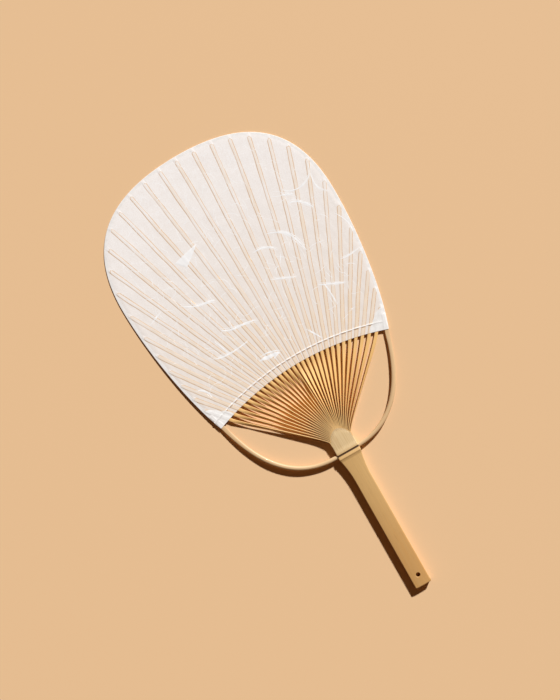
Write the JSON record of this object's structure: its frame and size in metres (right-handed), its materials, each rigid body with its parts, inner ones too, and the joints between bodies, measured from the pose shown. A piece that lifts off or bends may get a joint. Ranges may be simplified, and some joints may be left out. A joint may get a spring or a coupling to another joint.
{
  "type": "round uchiwa fan",
  "caption": "Rigid hand fan: a flat bamboo handle split into ribs, bent by a bow and a thread, and covered on both sides with plain paper.",
  "frame": {"origin": "centre of the hanging hole, on the plane that the handle's back and the blade's top rest on", "axes": "+Y from the handle to the blade along the grip, +Z out of the front, +X to the right seen from the front"},
  "size_m": [0.1778, 0.36, 0.0058],
  "materials": {
    "bamboo": "bare split bamboo, fine straight grain, matt",
    "bow_bamboo": "bare bamboo rod, pale, satin",
    "cotton_thread": "undyed cotton",
    "washi": "plain translucent mulberry paper with long fibres",
    "rim_paper": "plain white paper, pasted over the edge"
  },
  "bodies": {
    "root": {"split_bamboo": "bamboo", "bow": "bow_bamboo", "weaving_thread": "cotton_thread", "front_paper": "washi", "back_paper": "washi", "rim_strip": "rim_paper", "left_ear_patch": "rim_paper", "right_ear_patch": "rim_paper"}
  },
  "joints": []
}
